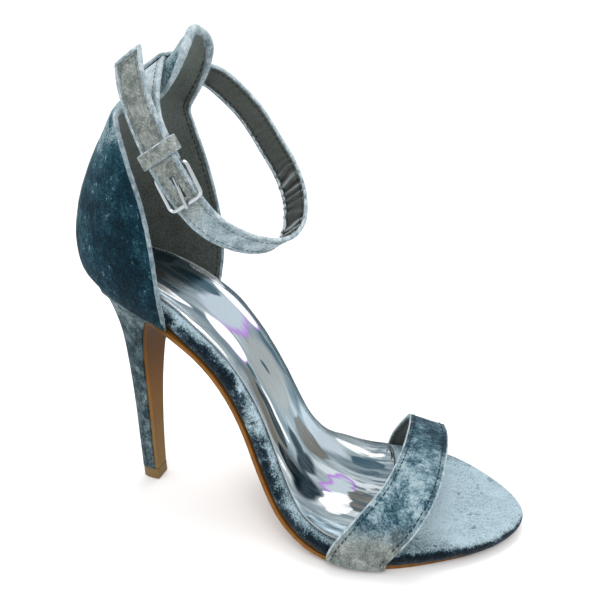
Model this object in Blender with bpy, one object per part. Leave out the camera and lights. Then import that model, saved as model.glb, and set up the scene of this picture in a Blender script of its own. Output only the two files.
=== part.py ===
"""High heel sandal for the right foot: one object for each piece that a maker puts together.

Metres, +Z up, +X toward the toe, +Y toward the inner side of the foot. The origin is the middle
of the heel tip's lower face, on the floor.
"""
import math

import bmesh
import bpy
from mathutils import Vector

# Sole and heel
PLAN_LENGTH = 0.1881        # back of the seat to the toe tip, along the floor
SEAT_BACK = 0.0158          # back of the seat behind the middle of the heel tip
SEAT_RISE = 0.1029          # seat's back above the forefoot
BALL_WIDTH = 0.0812
TOE_SPRING = 0.0020
TOE_ROUND = 0.076           # length over which the toe closes
SEAT_ROUND = 0.031          # length over which the back of the seat closes
FOOTBED_THICKNESS = 0.0080
EDGE_ROLL = 0.0032          # depth of the footbed's rounded edge
OUTSOLE_THICKNESS = 0.0016
FLAP_EDGE = 0.0006          # velvet border that shows beside the flap on the breast
HEEL_BACK = 0.0048          # back of the stem behind the origin
HEEL_FRONT = 0.0048         # front of the flap at the tip, before the origin
TIP_WIDTH = 0.0084
LIFT_HEIGHT = 0.0055
LIFT_BEVEL = 0.0004

# Linings and uppers
SOCK_THICKNESS = 0.0007
SOCK_ROUND = 0.008
COUNTER_WALL = 0.0016
CUP_HEIGHT = 0.0698         # back of the counter, seat to the foot of the back tab
CUP_DEPTH = 0.0443          # seat's back to the counter's front edge
CUP_WIDTH = 0.0680
TAB_REACH = 0.0306          # back tab, forward of its foot
TAB_RISE = 0.0264
TOE_STRAP_WALL = 0.0016
TOE_STRAP_RISE = 0.0350
STRAP_TUCK = math.radians(40)   # how far each end turns in under the footbed's edge
ANKLE_STRAP_WIDTH = 0.0110
ANKLE_STRAP_THICKNESS = 0.0014
LOOP_REACH = 0.0816         # ankle strap, back tab to its front
LOOP_WIDTH = 0.0645
BACK_LOOP_WALL = 0.0010
BACK_LOOP_MARGIN = 0.0028   # back loop beyond each edge of the strap
WIRE = 0.0016               # buckle wire's diameter
PRONG = 0.0012
BUCKLE_CORNER = 0.0020
HOLE_REACH = 0.36           # prong's slot to each side of its middle, as a share of the buckle's length
KEEPER_WALL = 0.0010
KEEPER_WIDTH = 0.0050
KEEPER_SLACK = 0.0012       # keeper beyond the edges of the two straps that it holds
PIECE_GAP = 0.0003

SOLE_STATIONS = 52
SOCK_STATIONS = 34
FLAP_STEPS = 2
EDGE_STEPS = 6
HEEL_STEPS = 16
CUP_STEPS = 12


class Table:
    """Rows of a shape, read at any place between them by a curve that never overshoots."""

    def __init__(self, columns, rows):
        self.places = [row[0] for row in rows]
        self.values = {name: [row[i + 1] for row in rows] for i, name in enumerate(columns.split()[1:])}

    def slope(self, values, i):
        last = len(values) - 1
        if i in (0, last):
            near = min(max(i, 1), last)
            return (values[near] - values[near - 1]) / (self.places[near] - self.places[near - 1])
        before = self.places[i] - self.places[i - 1]
        after = self.places[i + 1] - self.places[i]
        rise_in = (values[i] - values[i - 1]) / before
        rise_out = (values[i + 1] - values[i]) / after
        if rise_in * rise_out <= 0.0:
            return 0.0
        mean = (rise_in * after + rise_out * before) / (before + after)
        limit = 2.0 * min(abs(rise_in), abs(rise_out))
        return math.copysign(min(abs(mean), limit), mean)

    def at(self, name, place):
        values = self.values[name]
        place = min(max(place, self.places[0]), self.places[-1])
        i = 0
        while i < len(self.places) - 2 and place > self.places[i + 1]:
            i += 1
        span = self.places[i + 1] - self.places[i]
        t = (place - self.places[i]) / span
        start = (1 + 2 * t) * (1 - t) ** 2 * values[i] + t * (1 - t) ** 2 * span * self.slope(values, i)
        end = t * t * (3 - 2 * t) * values[i + 1] - t * t * (1 - t) * span * self.slope(values, i + 1)
        return start + end


# Underside of the footbed and its outline. Place is a share of PLAN_LENGTH from the back,
# rise of SEAT_RISE, thick of FOOTBED_THICKNESS, tuck (how far the outsole lies in from the
# outline) of EDGE_ROLL, the rest of BALL_WIDTH.
SOLE = Table("place rise thick outer inner lean tuck", [
    (0.000, 1.000, 1.15, 0.262, 0.262, 0.000, 0.28),
    (0.049, 0.990, 1.15, 0.290, 0.290, 0.000, 0.28),
    (0.085, 0.963, 1.15, 0.310, 0.314, 0.000, 0.28),
    (0.147, 0.914, 1.13, 0.321, 0.323, 0.000, 0.28),
    (0.206, 0.862, 1.07, 0.334, 0.329, 0.000, 0.28),
    (0.259, 0.797, 1.00, 0.331, 0.321, 0.000, 0.28),
    (0.307, 0.713, 1.00, 0.317, 0.286, 0.000, 0.28),
    (0.347, 0.618, 1.00, 0.310, 0.267, 0.000, 0.28),
    (0.380, 0.514, 1.00, 0.312, 0.262, 0.000, 0.28),
    (0.407, 0.400, 1.00, 0.320, 0.267, 0.000, 0.28),
    (0.434, 0.277, 1.00, 0.346, 0.291, 0.000, 0.32),
    (0.476, 0.145, 1.00, 0.408, 0.347, 0.000, 0.40),
    (0.550, 0.047, 1.00, 0.490, 0.436, 0.000, 0.50),
    (0.616, 0.008, 1.00, 0.512, 0.473, 0.000, 0.64),
    (0.658, 0.000, 1.00, 0.517, 0.491, 0.000, 0.74),
    (0.749, 0.000, 0.95, 0.506, 0.537, 0.003, 0.90),
    (0.828, 0.000, 0.86, 0.483, 0.573, 0.010, 1.05),
    (0.919, 0.000, 0.76, 0.465, 0.543, 0.019, 1.20),
    (0.961, 0.000, 0.68, 0.448, 0.504, 0.022, 1.25),
    (1.000, 0.000, 0.58, 0.420, 0.443, 0.025, 1.25),
])
SPRING_START = 0.88
FLAP_TOP = 0.224            # where the sole bends down into the flap, as a share of PLAN_LENGTH
HEEL_STOP = 0.195           # front of the heel's seat, as above
FLAP_LEAD = 0.03            # how far on along the sole the flap's curve is read, as above
COUNTER_END = 0.237         # the counter's front edge on the sole, as a share of PLAN_LENGTH
COUNTER_FADE = 0.035
SOCK_PLACE = 0.712          # front edge of the sock, as above

# The heel and the flap down its breast. Rise is a share of the way up from the top lift to the sole,
# front of CUP_DEPTH beyond the flap's foot, width of BALL_WIDTH. Back is a share of the way from the
# stem's back to the seat's, at the share up of the way from the top lift to the seat.
BREAST = Table("rise front width back up", [
    (0.000, 0.000, 0.096, 0.00, 0.000),
    (0.180, 0.009, 0.106, 0.00, 0.155),
    (0.362, 0.023, 0.123, 0.00, 0.330),
    (0.569, 0.045, 0.159, 0.01, 0.506),
    (0.763, 0.081, 0.212, 0.06, 0.670),
    (0.860, 0.118, 0.258, 0.17, 0.772),
    (0.942, 0.184, 0.336, 0.40, 0.878),
    (0.987, 0.268, 0.436, 0.68, 0.957),
])

# The counter from the seat up. Back and front are shares of CUP_DEPTH forward of the seat's back,
# back_up and front_up of CUP_HEIGHT above it, half of CUP_WIDTH, full is the bulge of the plan.
CUP_ROWS = (
    ("back", "back_up", "front", "front_up", "half", "full"),
    (-0.059, 0.082, 1.027, -0.135, 0.448, 2.20),
    (-0.079, 0.196, 1.045, 0.009, 0.488, 2.15),
    (-0.074, 0.311, 1.043, 0.160, 0.500, 2.10),
    (-0.027, 0.440, 1.023, 0.318, 0.497, 2.00),
    (0.065, 0.562, 0.982, 0.477, 0.492, 2.00),
    (0.190, 0.683, 0.923, 0.628, 0.494, 1.95),
    (0.334, 0.812, 0.865, 0.769, 0.485, 1.80),
    (0.470, 0.924, 0.819, 0.877, 0.470, 1.60),
    (0.573, 1.000, 0.806, 0.934, 0.452, 1.45),
)

# The back tab, forward of its foot. Ridge and edge are shares of TAB_REACH, ridge_up and edge_up
# of TAB_RISE above the foot, half of CUP_WIDTH.
TAB_ROWS = (
    ("ridge", "ridge_up", "edge", "edge_up", "half", "full"),
    (0.092, 0.129, 0.415, -0.072, 0.376, 1.55),
    (0.196, 0.261, 0.546, -0.038, 0.272, 1.75),
    (0.294, 0.375, 0.650, 0.030, 0.219, 2.00),
    (0.438, 0.470, 0.739, 0.144, 0.206, 2.00),
    (0.592, 0.568, 0.830, 0.280, 0.198, 2.00),
    (0.722, 0.693, 0.915, 0.443, 0.190, 2.00),
    (0.837, 0.826, 0.980, 0.606, 0.177, 2.00),
    (0.928, 0.928, 1.023, 0.742, 0.156, 1.90),
    (0.984, 0.985, 1.046, 0.845, 0.128, 1.80),
)
TAB_STRAP_ROW = 12       # row of the counter's whole grid that the ankle strap's middle crosses

# The toe strap over the foot. Rear and front are shares of PLAN_LENGTH, side of BALL_WIDTH,
# up of TOE_STRAP_RISE above the forefoot.
TOE_STRAP_ROWS = (
    ("rear", "rear_side", "rear_up", "front", "front_side", "front_up"),
    (0.617, -0.527, 0.330, 0.741, -0.513, 0.300),
    (0.654, -0.507, 0.600, 0.769, -0.497, 0.495),
    (0.680, -0.461, 0.755, 0.792, -0.459, 0.680),
    (0.704, -0.394, 0.875, 0.809, -0.384, 0.795),
    (0.720, -0.283, 0.940, 0.820, -0.254, 0.865),
    (0.730, -0.135, 0.965, 0.825, -0.091, 0.885),
    (0.735, 0.018, 0.965, 0.827, 0.059, 0.890),
    (0.737, 0.172, 0.955, 0.823, 0.180, 0.885),
    (0.733, 0.302, 0.920, 0.815, 0.291, 0.830),
    (0.721, 0.394, 0.765, 0.809, 0.384, 0.685),
    (0.702, 0.452, 0.565, 0.806, 0.452, 0.480),
    (0.682, 0.492, 0.345, 0.806, 0.490, 0.285),
)
TOE_STRAP_FEET = ((0.598, 0.718), (0.671, 0.807))   # outer and inner foot, rear and front, as above

# The ankle strap from where it crosses the back tab, out and round to its tail. Down and along
# are shares of LOOP_REACH, down the loop and along the strap's width, side of LOOP_WIDTH.
STRAP_ROUND = (
    ("down", "side", "along"),
    (0.094, 0.298, 0.108),
    (0.229, 0.383, 0.156),
    (0.379, 0.424, 0.184),
    (0.560, 0.421, 0.194),
    (0.710, 0.392, 0.204),
    (0.840, 0.322, 0.198),
    (0.932, 0.235, 0.176),
    (1.000, 0.130, 0.142),
    (1.022, -0.018, 0.088),
    (0.962, -0.188, 0.022),
    (0.852, -0.335, -0.030),
    (0.757, -0.421, -0.045),
    (0.658, -0.484, -0.042),
    (0.577, -0.520, -0.033),
    (0.510, -0.546, -0.027),
    (0.427, -0.565, -0.018),
    (0.246, -0.578, 0.016),
    (0.132, -0.578, 0.052),
    (0.050, -0.571, 0.094),
)
FRONT_BAR_ROW = 12          # rows of STRAP_ROUND that lie under and over the buckle's bars
REAR_BAR_ROW = 14
KEEPER_PLACE = 0.85         # between the rear bar's row and the next
STRAP_SHORT = (
    ("down", "side", "along"),
    (0.093, -0.315, 0.045),
    (0.212, -0.462, 0.018),
    (0.325, -0.527, -0.008),
)

MATERIALS = {
    "velvet": ((0.10, 0.19, 0.24), 0.85, 0.0),
    "velvet_toe": ((0.36, 0.50, 0.58), 0.80, 0.0),
    "tan": ((0.25, 0.10, 0.025), 0.45, 0.0),
    "sock": ((0.45, 0.50, 0.52), 0.12, 0.75),
    "metal": ((0.70, 0.70, 0.72), 0.25, 1.0),
}


def material(name, piece):
    colour, roughness, metallic = MATERIALS[name]
    made = bpy.data.materials.new(piece + "_" + name)
    made.use_nodes = True
    shader = made.node_tree.nodes["Principled BSDF"]
    shader.inputs["Base Color"].default_value = (*colour, 1.0)
    shader.inputs["Roughness"].default_value = roughness
    shader.inputs["Metallic"].default_value = metallic
    return made


def place_mesh(name, look, vertices, faces, smooth_angle=40.0):
    mesh = bpy.data.meshes.new(name)
    mesh.from_pydata([tuple(v) for v in vertices], [], faces)
    mesh.validate()
    mesh.shade_smooth()
    mesh.set_sharp_from_angle(angle=math.radians(smooth_angle))
    made = bpy.data.objects.new(name, mesh)
    bpy.context.scene.collection.objects.link(made)
    mesh.materials.append(material(look, name))
    return made


def outward(made):
    work = bmesh.new()
    work.from_mesh(made.data)
    bmesh.ops.recalc_face_normals(work, faces=work.faces)
    work.to_mesh(made.data)
    work.free()
    return made


def loft(name, look, rings, cap_end=True, paired=False):
    """A closed solid through rings of the same number of points. Paired ends close in strips."""
    count = len(rings[0])
    vertices = [point for ring in rings for point in ring]
    faces = []
    for i in range(len(rings) - 1):
        for j in range(count):
            k = (j + 1) % count
            faces.append((i * count + j, i * count + k, (i + 1) * count + k, (i + 1) * count + j))
    last = (len(rings) - 1) * count
    for base in (0, last) if cap_end else (0,):
        if paired:
            for j in range(count // 2 - 1):
                k = count - 1 - j
                faces.append((base + j, base + j + 1, base + k - 1, base + k))
        else:
            faces.append(tuple(base + j for j in range(count)))
    return outward(place_mesh(name, look, vertices, faces))


def sheet(name, look, rows, thickness, side, looped=False):
    """A wall of even thickness on a grid: side -1 grows against the grid's normal, +1 along it."""
    count = len(rows[0])
    vertices = [point for row in rows for point in row]
    faces = []
    for i in range(len(rows) - (0 if looped else 1)):
        n = (i + 1) % len(rows)
        for j in range(count - 1):
            faces.append((i * count + j, n * count + j, n * count + j + 1, i * count + j + 1))
    made = place_mesh(name, look, vertices, faces)
    wall = made.modifiers.new("wall", "SOLIDIFY")
    wall.thickness = thickness
    wall.offset = side
    wall.use_quality_normals = True
    return made


def wire(name, look, points, diameter, closed=False):
    curve = bpy.data.curves.new(name, "CURVE")
    curve.dimensions = "3D"
    curve.bevel_depth = diameter / 2
    curve.bevel_resolution = 2
    curve.use_fill_caps = not closed
    line = curve.splines.new("POLY")
    line.points.add(len(points) - 1)
    for point, spot in zip(line.points, points):
        point.co = (*spot, 1.0)
    line.use_cyclic_u = closed
    line.use_smooth = True
    made = bpy.data.objects.new(name, curve)
    bpy.context.scene.collection.objects.link(made)
    curve.materials.append(material(look, name))
    return made


def through(points, steps):
    """A smooth line through the points, with this many steps between each two."""
    ends = [2 * points[0] - points[1], *points, 2 * points[-1] - points[-2]]
    line = []
    for a, b, c, d in zip(ends, ends[1:], ends[2:], ends[3:]):
        for step in range(steps):
            t = step / steps
            line.append(0.5 * (2 * b + (c - a) * t + (2 * a - 5 * b + 4 * c - d) * t ** 2
                               + (3 * b - a - 3 * c + d) * t ** 3))
    line.append(points[-1])
    return line


def read(rows):
    """Rows of a table as dictionaries, by the names in its first row."""
    return [dict(zip(rows[0], row)) for row in rows[1:]]


# The sole's own surface: distance along its underside, distance to the side, height off it
def sole_line(place):
    spring = max(0.0, (place - SPRING_START) / (1.0 - SPRING_START)) ** 2 * TOE_SPRING
    forefoot = OUTSOLE_THICKNESS + PIECE_GAP
    rise = SOLE.at("rise", place) * SEAT_RISE
    return Vector((place * PLAN_LENGTH - SEAT_BACK, 0.0, forefoot + rise + spring))


LINE_STEPS = 400
LINE = [sole_line(i / LINE_STEPS) for i in range(LINE_STEPS + 1)]
RUN = [0.0]
for before, after in zip(LINE, LINE[1:]):
    RUN.append(RUN[-1] + (after - before).length)
SOLE_LENGTH = RUN[-1]


def run_at(place):
    spot = min(max(place, 0.0), 1.0) * LINE_STEPS
    i = min(int(spot), LINE_STEPS - 1)
    return RUN[i] + (RUN[i + 1] - RUN[i]) * (spot - i)


def place_at(run):
    low, high = 0, LINE_STEPS
    while high - low > 1:
        middle = (low + high) // 2
        if RUN[middle] > run:
            high = middle
        else:
            low = middle
    return (low + (run - RUN[low]) / (RUN[low + 1] - RUN[low])) / LINE_STEPS


def on_sole(run, side, height):
    place = place_at(run)
    small = 1.0 / LINE_STEPS
    ahead = sole_line(min(place + small, 1.0)) - sole_line(max(place - small, 0.0))
    ahead.normalize()
    up = Vector((-ahead.z, 0.0, ahead.x))
    return sole_line(place) + Vector((0.0, side, 0.0)) + up * height


def closing(distance, length):
    """How far the outline has opened at this distance from a round end."""
    if distance >= length:
        return 1.0
    return math.sqrt(max(0.0, 1.0 - (1.0 - distance / length) ** 2))


def half_width(run, which):
    place = place_at(run)
    open_share = closing(run, SEAT_ROUND) * closing(SOLE_LENGTH - run, TOE_ROUND)
    lean = SOLE.at("lean", place) * BALL_WIDTH
    width = SOLE.at(which, place) * BALL_WIDTH * open_share
    return lean - width if which == "outer" else lean + width


def outline(run, which, inset):
    """A point of the outline in the sole's surface, moved in by an inset."""
    small = SOLE_LENGTH / LINE_STEPS / 8
    low = max(run - small, 0.0)
    high = min(run + small, SOLE_LENGTH)
    slope = (half_width(high, which) - half_width(low, which)) / (high - low)
    sign = 1.0 if which == "outer" else -1.0
    size = math.hypot(1.0, slope)
    return run - sign * slope / size * inset, half_width(run, which) + sign / size * inset


def upper_inset(run):
    """What the footbed leaves for the counter's wall, gone ahead of the counter's front edge."""
    ahead = (place_at(run) - COUNTER_END) / COUNTER_FADE
    share = min(max(1.0 - ahead, 0.0), 1.0)
    return (COUNTER_WALL + PIECE_GAP) * share * share * (3 - 2 * share)


def bunched(i, count):
    """Shares that crowd toward both ends, for round ends. The first and last stay just inside."""
    return 0.5 - 0.5 * math.cos(math.pi * (i + 0.3) / (count + 0.6))


def build_footbed():
    rings = []
    for i in range(SOLE_STATIONS + 1):
        run = SOLE_LENGTH * bunched(i, SOLE_STATIONS)
        thick = SOLE.at("thick", place_at(run)) * FOOTBED_THICKNESS
        roll = min(EDGE_ROLL, thick / 2)
        ring = []
        for which, turn in (("outer", 1), ("inner", -1)):
            for step in range(EDGE_STEPS + 1):
                angle = turn * math.pi * (step / EDGE_STEPS - 0.5)
                inset = upper_inset(run) + roll * (1 - math.cos(angle))
                along, side = outline(run, which, inset)
                ring.append(on_sole(along, side, thick / 2 * (1 + math.sin(angle))))
        rings.append(ring)
    return loft("footbed", "velvet_toe", rings, paired=True)


def sock_half(run, start, end, which):
    inset = upper_inset(run) + EDGE_ROLL
    shut = closing(end - run, SOCK_ROUND) * closing(run - start, SOCK_ROUND)
    along, side = outline(run, which, inset)
    middle = SOLE.at("lean", place_at(run)) * BALL_WIDTH
    return along, middle + (side - middle) * shut


def build_sock():
    start = EDGE_ROLL + upper_inset(0.0)
    end = run_at(SOCK_PLACE)
    rings = []
    for i in range(SOCK_STATIONS + 1):
        run = start + (end - start) * bunched(i, SOCK_STATIONS)
        low = SOLE.at("thick", place_at(run)) * FOOTBED_THICKNESS + PIECE_GAP
        near = sock_half(run, start, end, "outer")
        far = sock_half(run, start, end, "inner")
        ring = []
        for height, shares in ((low, (0, 0.25, 0.5, 0.75, 1)), (low + SOCK_THICKNESS, (1, 0.75, 0.5, 0.25, 0))):
            for share in shares:
                side = near[1] + (far[1] - near[1]) * share
                ring.append(on_sole(run, side, height))
        rings.append(ring)
    return loft("insole_sock", "sock", rings)


def flap_line():
    """Outer face of the flap from the heel tip up to the sole: place on the table, point, half width."""
    top = run_at(FLAP_TOP)
    sole_face = on_sole(top, 0.0, -PIECE_GAP - OUTSOLE_THICKNESS)
    foot = LIFT_HEIGHT + PIECE_GAP
    knots = []
    for place in BREAST.places:
        height = foot + (sole_face.z - foot) * place
        reach = HEEL_FRONT + BREAST.at("front", place) * CUP_DEPTH
        half = BREAST.at("width", place) / 2 * BALL_WIDTH
        knots.append(Vector((reach, half, height, place)))
    for lead in (0.0, FLAP_LEAD):
        spot = on_sole(run_at(FLAP_TOP + lead), 0.0, -PIECE_GAP - OUTSOLE_THICKNESS)
        knots.append(Vector((spot.x, sole_half(FLAP_TOP + lead), spot.z, 1.0)))
    line = through(knots, FLAP_STEPS)[:-FLAP_STEPS - 1]
    stations = []
    for i, knot in enumerate(line):
        ahead = line[i + 1] - line[max(i - 1, 0)] if i + 1 < len(line) else line[i] - line[i - 1]
        into = Vector((-ahead.z, 0.0, ahead.x)).normalized() if i else Vector((-1.0, 0.0, 0.0))
        stations.append((min(knot.w, BREAST.places[-1]), Vector((knot.x, 0.0, knot.z)), into, knot.y))
    return stations


def strip_ring(near_low, far_low, near_high, far_high):
    """A flat bar's section: across its lower face, then back across its upper face."""
    ring = [near_low + (far_low - near_low) * part for part in (0, 0.25, 0.5, 0.75, 1)]
    return ring + [far_high + (near_high - far_high) * part for part in (0, 0.25, 0.5, 0.75, 1)]


def build_outsole():
    rings = []
    for place, spot, into, half in flap_line():
        side = Vector((0.0, half, 0.0))
        back = spot + into * OUTSOLE_THICKNESS
        rings.append(strip_ring(spot - side, spot + side, back - side, back + side))
    start = run_at(FLAP_TOP)
    bottom = -PIECE_GAP - OUTSOLE_THICKNESS
    for i in range(SOLE_STATIONS):
        share = math.sin(math.pi / 2 * i / (SOLE_STATIONS - 0.6))
        run = start + (SOLE_LENGTH - start) * share
        tuck = SOLE.at("tuck", place_at(run)) * EDGE_ROLL
        near = outline(run, "outer", tuck)
        far = outline(run, "inner", tuck)
        rings.append(strip_ring(on_sole(*near, bottom), on_sole(*far, bottom),
                                on_sole(*near, -PIECE_GAP), on_sole(*far, -PIECE_GAP)))
    return loft("outsole", "tan", rings)


def sole_half(place):
    full = half_width(run_at(place), "inner") - half_width(run_at(place), "outer")
    return full / 2 - SOLE.at("tuck", place) * EDGE_ROLL


def build_heel():
    rings = []
    seat = sole_line(0.0)
    foot = LIFT_HEIGHT + PIECE_GAP
    for place, spot, into, half in flap_line():
        front = spot + into * (OUTSOLE_THICKNESS + PIECE_GAP)
        if front.x > HEEL_STOP * PLAN_LENGTH - SEAT_BACK:
            break
        height = foot + (seat.z - foot) * BREAST.at("up", place)
        reach = HEEL_BACK + (SEAT_BACK - HEEL_BACK) * BREAST.at("back", place)
        back = Vector((-reach, 0.0, height))
        rings.append(heel_ring(front, back, half + FLAP_EDGE))
    top_run = run_at(HEEL_STOP)
    ring = []
    for step in range(HEEL_STEPS + 1):
        angle = math.pi * step / HEEL_STEPS
        run = top_run * (1.0 - math.sin(angle))
        which = "outer" if step * 2 <= HEEL_STEPS else "inner"
        ring.append(on_sole(run, half_width(run, which), -PIECE_GAP))
    near, far = ring[0], ring[-1]
    for part in (0.75, 0.5, 0.25):
        ring.append(near + (far - near) * part)
    rings.append(ring)
    made = loft("heel", "velvet", rings, cap_end=False)
    close_top(made, len(ring))
    return made


def heel_ring(front, back, half):
    ring = []
    for step in range(HEEL_STEPS + 1):
        angle = math.pi * step / HEEL_STEPS
        deep = math.sin(angle) ** 0.9
        wide = math.copysign(abs(math.cos(angle)) ** 0.8, math.cos(angle))
        ring.append(front + (back - front) * deep - Vector((0.0, half * wide, 0.0)))
    near, far = ring[0], ring[-1]
    for part in (0.75, 0.5, 0.25):
        ring.append(near + (far - near) * part)
    return ring


def close_top(made, count):
    """Close the heel's seat with strips from side to side, so that it follows the sole's curve."""
    work = bmesh.new()
    work.from_mesh(made.data)
    work.verts.ensure_lookup_table()
    top = work.verts[-count:]
    for step in range(HEEL_STEPS // 2):
        other = HEEL_STEPS - step
        corners = [top[step], top[step + 1], top[other - 1], top[other]]
        if corners[1] is corners[2]:
            corners.pop(2)
        if step == 0:
            corners = [top[0], top[1], top[other - 1], top[other], *top[HEEL_STEPS + 1:]]
        work.faces.new(corners)
    bmesh.ops.recalc_face_normals(work, faces=work.faces)
    work.to_mesh(made.data)
    work.free()
    made.data.shade_smooth()
    made.data.set_sharp_from_angle(angle=math.radians(40))


def build_lift():
    front = Vector((HEEL_FRONT, 0.0, 0.0))
    back = Vector((-HEEL_BACK, 0.0, 0.0))
    rings = []
    for height, inset in ((0.0, LIFT_BEVEL), (LIFT_BEVEL, 0.0), (LIFT_HEIGHT, 0.0)):
        lift = Vector((0.0, 0.0, height))
        inner = Vector((inset, 0.0, 0.0))
        rings.append(heel_ring(front + lift - inner, back + lift + inner, TIP_WIDTH / 2 - inset))
    return loft("top_lift", "tan", rings)


def counter_rows():
    """Outer face of the counter and its back tab: rows of back, front edge, half width, fullness."""
    seat = sole_line(0.0)
    rows = []
    for row in read(CUP_ROWS):
        back = seat + Vector((row["back"] * CUP_DEPTH, 0.0, row["back_up"] * CUP_HEIGHT))
        front = seat + Vector((row["front"] * CUP_DEPTH, 0.0, row["front_up"] * CUP_HEIGHT))
        rows.append((back, front, row["half"] * CUP_WIDTH, row["full"]))
    foot = rows[-1][0]
    for row in read(TAB_ROWS):
        back = foot + Vector((row["ridge"] * TAB_REACH, 0.0, row["ridge_up"] * TAB_RISE))
        front = foot + Vector((row["edge"] * TAB_REACH, 0.0, row["edge_up"] * TAB_RISE))
        rows.append((back, front, row["half"] * CUP_WIDTH, row["full"]))
    return rows


def between(rows, place):
    """Rows are read at any place between two of them."""
    i = min(int(place), len(rows) - 2)
    t = place - i
    return [a + (b - a) * t for a, b in zip(rows[i], rows[i + 1])]


def counter_point(row, turn):
    """Turn runs from -1 at the outer front edge, over 0 at the back, to 1 at the inner one."""
    back, front, half, full = row
    angle = abs(turn) * math.pi / 2
    forward = math.cos(angle) ** (2 / full)
    out = math.sin(angle) ** (2 / full)
    return front + (back - front) * forward + Vector((0.0, math.copysign(half * out, turn), 0.0))


def build_counter():
    rows = counter_rows()
    end = run_at(COUNTER_END)
    grid = []
    turns = [i / CUP_STEPS for i in range(-CUP_STEPS, CUP_STEPS + 1)]
    seat_row = []
    for turn in turns:
        run = end * (1.0 - math.cos(abs(turn) * math.pi / 2))
        seat_row.append(on_sole(run, half_width(run, "outer" if turn < 0 else "inner"), 0.0))
    grid.append(seat_row)
    for row in rows:
        grid.append([counter_point(row, turn) for turn in turns])
    fine = []
    columns = [through([row[j] for row in grid], 2) for j in range(len(turns))]
    for i in range(len(columns[0])):
        fine.append([column[i] for column in columns])
    return sheet("counter", "velvet", fine, COUNTER_WALL, -1.0)


def tab_frame():
    """Where the strap's middle crosses the ridge, the way along the ridge and the way down."""
    rows = counter_rows()
    here = rows[TAB_STRAP_ROW][0]
    along = (rows[TAB_STRAP_ROW + 1][0] - rows[TAB_STRAP_ROW - 1][0]).normalized()
    down = Vector((along.z, 0.0, -along.x))
    return here, along, down


def over_tab(place, turn, height):
    """A point this high over the back tab's outer face."""
    rows = counter_rows()
    small = 0.02
    here = counter_point(between(rows, place), turn)
    across = counter_point(between(rows, place), turn + small) - counter_point(between(rows, place), turn - small)
    ahead = counter_point(between(rows, place + small), turn) - counter_point(between(rows, place - small), turn)
    return here + ahead.cross(across).normalized() * height


def build_back_loop():
    reach = ANKLE_STRAP_WIDTH / 2 + BACK_LOOP_MARGIN
    ridge = [row[0] for row in counter_rows()]
    step = (ridge[TAB_STRAP_ROW + 1] - ridge[TAB_STRAP_ROW]).length
    inner = ANKLE_STRAP_THICKNESS + 2.4 * PIECE_GAP
    rows = []
    for share, height in ((-1.0, PIECE_GAP), (-0.86, PIECE_GAP), (-0.70, inner), (-0.35, inner),
                          (0.0, inner), (0.35, inner), (0.70, inner), (0.86, PIECE_GAP), (1.0, PIECE_GAP)):
        place = TAB_STRAP_ROW + share * reach / step
        rows.append([over_tab(place, turn / 20, height) for turn in range(-5, 6)])
    return sheet("back_loop", "velvet", rows, BACK_LOOP_WALL, 1.0)


def strap_points():
    """Middle of the ankle strap: short end first, over the back tab, round the ankle, to the tail."""
    here, along, down = tab_frame()
    lift = PIECE_GAP + ANKLE_STRAP_THICKNESS / 2
    out = Vector((-along.z, 0.0, along.x))
    centre = here + out * lift

    def spot(row):
        return (centre + down * row["down"] * LOOP_REACH + along * row["along"] * LOOP_REACH
                + Vector((0.0, row["side"] * LOOP_WIDTH, 0.0)))

    over = [over_tab(TAB_STRAP_ROW, turn / 20, lift) for turn in (-8, -4, 0, 4, 8)]
    round_points = [spot(row) for row in read(STRAP_ROUND)]
    short_points = [spot(row) for row in read(STRAP_SHORT)]
    return short_points, over, round_points, along


def strap_out(points, i, along):
    """Outward direction of the strap at one of its points."""
    ahead = points[min(i + 1, len(points) - 1)] - points[max(i - 1, 0)]
    return along.cross(ahead).normalized()


def buckle_bars():
    short_points, over, points, along = strap_points()
    clear = ANKLE_STRAP_THICKNESS / 2 + PIECE_GAP + WIRE / 2
    front_out = strap_out(points, FRONT_BAR_ROW, along)
    rear_out = strap_out(points, REAR_BAR_ROW, along)
    front = points[FRONT_BAR_ROW] + front_out * clear
    rear = points[REAR_BAR_ROW] - rear_out * clear
    return front, rear, front_out, along


def build_ankle_strap():
    short_points, over, round_points, along = strap_points()
    front, rear, out, along = buckle_bars()
    toward = (short_points[-1] - rear).normalized()
    end = rear + toward * (WIRE / 2 + PIECE_GAP)
    points = [end, *reversed(short_points), *over, *round_points]
    line = through(points, 3)
    half = along * ANKLE_STRAP_WIDTH / 2
    grid = [[spot - half + half * 2 * k / 3 for k in range(4)] for spot in line]
    made = sheet("ankle_strap", "velvet", grid, ANKLE_STRAP_THICKNESS, 0.0)
    cut_hole(made, front, rear, out, along)
    return made


def cut_hole(strap, front, rear, out, along):
    """The slot that the prong passes through, between the two bars."""
    middle = (front + rear) / 2
    ahead = (rear - front).normalized()
    long_half = (rear - front).length * HOLE_REACH
    wide_half = PRONG / 2 + 2 * PIECE_GAP
    deep_half = WIRE + 3 * ANKLE_STRAP_THICKNESS
    corners = []
    for x in (-1, 1):
        for y in (-1, 1):
            for z in (-1, 1):
                corners.append(middle + ahead * x * long_half + along * y * wide_half + out * z * deep_half)
    faces = [(0, 1, 3, 2), (4, 6, 7, 5), (0, 4, 5, 1), (2, 3, 7, 6), (0, 2, 6, 4), (1, 5, 7, 3)]
    cutter = outward(place_mesh("strap_hole_cutter", "velvet", corners, faces))
    cutter.hide_render = True
    cutter.display_type = "WIRE"
    hole = strap.modifiers.new("hole", "BOOLEAN")
    hole.operation = "DIFFERENCE"
    hole.object = cutter
    hole.solver = "EXACT"


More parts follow.
